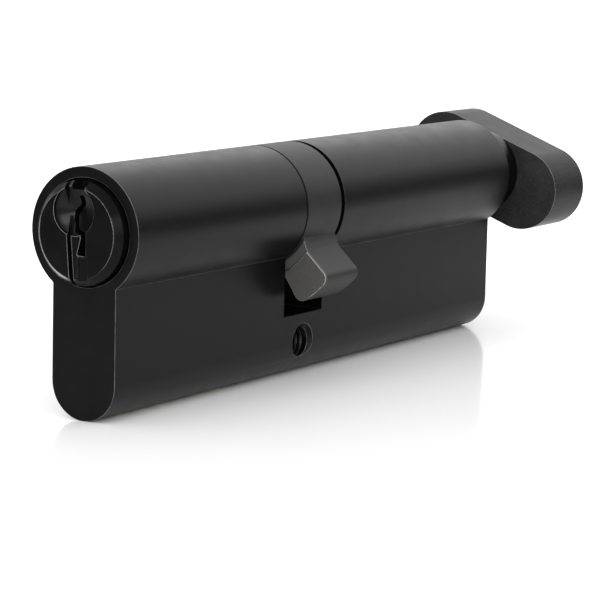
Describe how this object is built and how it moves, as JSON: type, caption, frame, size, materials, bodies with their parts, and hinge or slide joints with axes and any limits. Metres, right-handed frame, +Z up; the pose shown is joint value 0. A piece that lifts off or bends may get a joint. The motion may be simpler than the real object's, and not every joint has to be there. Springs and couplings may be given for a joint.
{
  "type": "euro profile lock cylinder",
  "caption": "Euro profile door lock cylinder in satin black with a keyed plug at one end, a swinging cam in the middle and a flat oval thumbturn at the other end.",
  "frame": {"origin": "middle of the tapped fixing-screw hole, on the centre plane of the web", "axes": "+X along the barrel from the key end to the thumbturn end, +Y along the fixing-screw hole, +Z up from the web to the barrel"},
  "size_m": [0.1186, 0.0268, 0.0335],
  "materials": {
    "coated_body": "satin black coating over the body's metal",
    "coated_plug": "satin black coating, worn bright at the key's edges",
    "coated_spindle": "satin black coating",
    "coated_grip": "satin black coating",
    "cam_steel": "sintered steel, bare and dull grey",
    "spring_steel": "drawn spring steel",
    "screw_steel": "blackened steel",
    "pin_brass": "turned brass",
    "pin_steel": "turned steel",
    "plug_brass": "turned brass, pressed in and dressed flush"
  },
  "bodies": {
    "body": {"housing": "coated_body", "pin_spring_1": "spring_steel", "pin_spring_2": "spring_steel", "pin_spring_3": "spring_steel", "pin_spring_4": "spring_steel", "pin_spring_5": "spring_steel", "pin_spring_6": "spring_steel", "chamber_plug_1": "plug_brass", "chamber_plug_2": "plug_brass", "chamber_plug_3": "plug_brass", "chamber_plug_4": "plug_brass", "chamber_plug_5": "plug_brass", "chamber_plug_6": "plug_brass"},
    "plug": {"key_plug": "coated_plug", "key_ring": "spring_steel"},
    "coupler": {"coupler": "cam_steel", "coupler_spring": "spring_steel"},
    "turn": {"cam": "cam_steel", "turn_spindle": "coated_spindle", "turn_ring": "spring_steel", "thumbturn": "coated_grip", "grub_screw": "screw_steel"},
    "key_pin_1": {"key_pin_1": "pin_brass"},
    "key_pin_2": {"key_pin_2": "pin_brass"},
    "key_pin_3": {"key_pin_3": "pin_brass"},
    "key_pin_4": {"key_pin_4": "pin_brass"},
    "key_pin_5": {"key_pin_5": "pin_brass"},
    "key_pin_6": {"key_pin_6": "pin_brass"},
    "driver_pin_1": {"driver_pin_1": "pin_steel"},
    "driver_pin_2": {"driver_pin_2": "pin_steel"},
    "driver_pin_3": {"driver_pin_3": "pin_steel"},
    "driver_pin_4": {"driver_pin_4": "pin_steel"},
    "driver_pin_5": {"driver_pin_5": "pin_steel"},
    "driver_pin_6": {"driver_pin_6": "pin_steel"}
  },
  "joints": [
    {"name": "plug_turn", "type": "hinge", "parent": "body", "child": "plug", "pos_m": [0, 0, 0.0195], "axis": [1, 0, 0], "continuous": true},
    {"name": "thumbturn_turn", "type": "hinge", "parent": "body", "child": "turn", "pos_m": [0, 0, 0.0195], "axis": [1, 0, 0], "continuous": true},
    {"name": "coupler_slide", "type": "slide", "parent": "plug", "child": "coupler", "axis": [1, 0, 0], "range_m": [0, 0.0022], "stiffness_N_per_m": 20, "springref_m": -0.004, "deforming": ["coupler_spring"]},
    {"name": "key_pin_1_lift", "type": "slide", "parent": "plug", "child": "key_pin_1", "axis": [0, 0, 1], "range_m": [0, 0.003]},
    {"name": "key_pin_2_lift", "type": "slide", "parent": "plug", "child": "key_pin_2", "axis": [0, 0, 1], "range_m": [0, 0.0022]},
    {"name": "key_pin_3_lift", "type": "slide", "parent": "plug", "child": "key_pin_3", "axis": [0, 0, 1], "range_m": [0, 0.0036]},
    {"name": "key_pin_4_lift", "type": "slide", "parent": "plug", "child": "key_pin_4", "axis": [0, 0, 1], "range_m": [0, 0.0026]},
    {"name": "key_pin_5_lift", "type": "slide", "parent": "plug", "child": "key_pin_5", "axis": [0, 0, 1], "range_m": [0, 0.0018]},
    {"name": "key_pin_6_lift", "type": "slide", "parent": "plug", "child": "key_pin_6", "axis": [0, 0, 1], "range_m": [0, 0.0033]},
    {"name": "driver_pin_1_press", "type": "slide", "parent": "body", "child": "driver_pin_1", "axis": [0, 0, -1], "range_m": [0, 0.003], "stiffness_N_per_m": 10, "springref_m": -0.003, "deforming": ["pin_spring_1"]},
    {"name": "driver_pin_2_press", "type": "slide", "parent": "body", "child": "driver_pin_2", "axis": [0, 0, -1], "range_m": [0, 0.003], "stiffness_N_per_m": 10, "springref_m": -0.003, "deforming": ["pin_spring_2"]},
    {"name": "driver_pin_3_press", "type": "slide", "parent": "body", "child": "driver_pin_3", "axis": [0, 0, -1], "range_m": [0, 0.003], "stiffness_N_per_m": 10, "springref_m": -0.003, "deforming": ["pin_spring_3"]},
    {"name": "driver_pin_4_press", "type": "slide", "parent": "body", "child": "driver_pin_4", "axis": [0, 0, -1], "range_m": [0, 0.003], "stiffness_N_per_m": 10, "springref_m": -0.003, "deforming": ["pin_spring_4"]},
    {"name": "driver_pin_5_press", "type": "slide", "parent": "body", "child": "driver_pin_5", "axis": [0, 0, -1], "range_m": [0, 0.003], "stiffness_N_per_m": 10, "springref_m": -0.003, "deforming": ["pin_spring_5"]},
    {"name": "driver_pin_6_press", "type": "slide", "parent": "body", "child": "driver_pin_6", "axis": [0, 0, -1], "range_m": [0, 0.003], "stiffness_N_per_m": 10, "springref_m": -0.003, "deforming": ["pin_spring_6"]}
  ]
}
